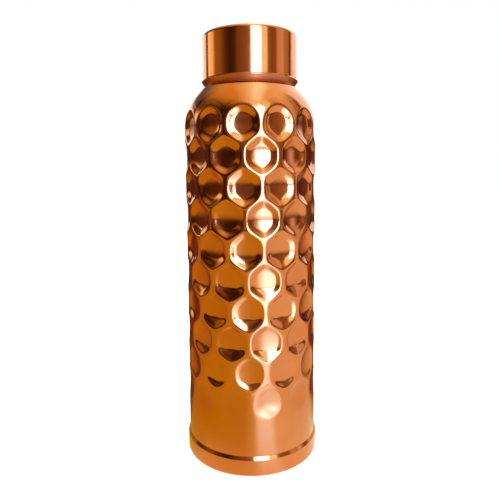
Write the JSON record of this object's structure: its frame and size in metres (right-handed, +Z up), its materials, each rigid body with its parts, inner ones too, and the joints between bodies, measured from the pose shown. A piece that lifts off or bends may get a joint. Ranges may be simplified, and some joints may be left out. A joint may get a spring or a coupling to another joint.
{
  "type": "water bottle",
  "caption": "Tall round copper water bottle with a honeycomb of pressed dimples, a plain banded base and a screw-on copper cap.",
  "frame": {"origin": "centre of the foot ring, on the surface the bottle stands on", "axes": "+Z up the bottle's axis towards the cap, -Y towards the viewer"},
  "size_m": [0.0796, 0.0796, 0.2484],
  "materials": {
    "copper": "mirror polished and lacquered",
    "collar": "satin",
    "liner": "moulded",
    "packing": "matte",
    "seal": "matte translucent"
  },
  "bodies": {
    "bottle": {"body_shell": "copper", "base_cup": "copper", "neck_collar": "collar"},
    "cap_lift": {"cap_seal": "seal"},
    "cap": {"cap_shell": "copper", "cap_liner": "liner", "cap_packing": "packing"}
  },
  "joints": [
    {"name": "cap_rise", "type": "slide", "parent": "bottle", "child": "cap_lift", "axis": [0, 0, 1], "range_m": [0, 0.0252]},
    {"name": "cap_turn", "type": "hinge", "parent": "cap_lift", "child": "cap", "pos_m": [0, 0, 0.23], "axis": [0, 0, 1], "range_deg": [0, 1080]}
  ],
  "couplings": [
    {"joint": "cap_rise", "follows": "cap_turn", "m_per_rad": 0.0013369}
  ]
}
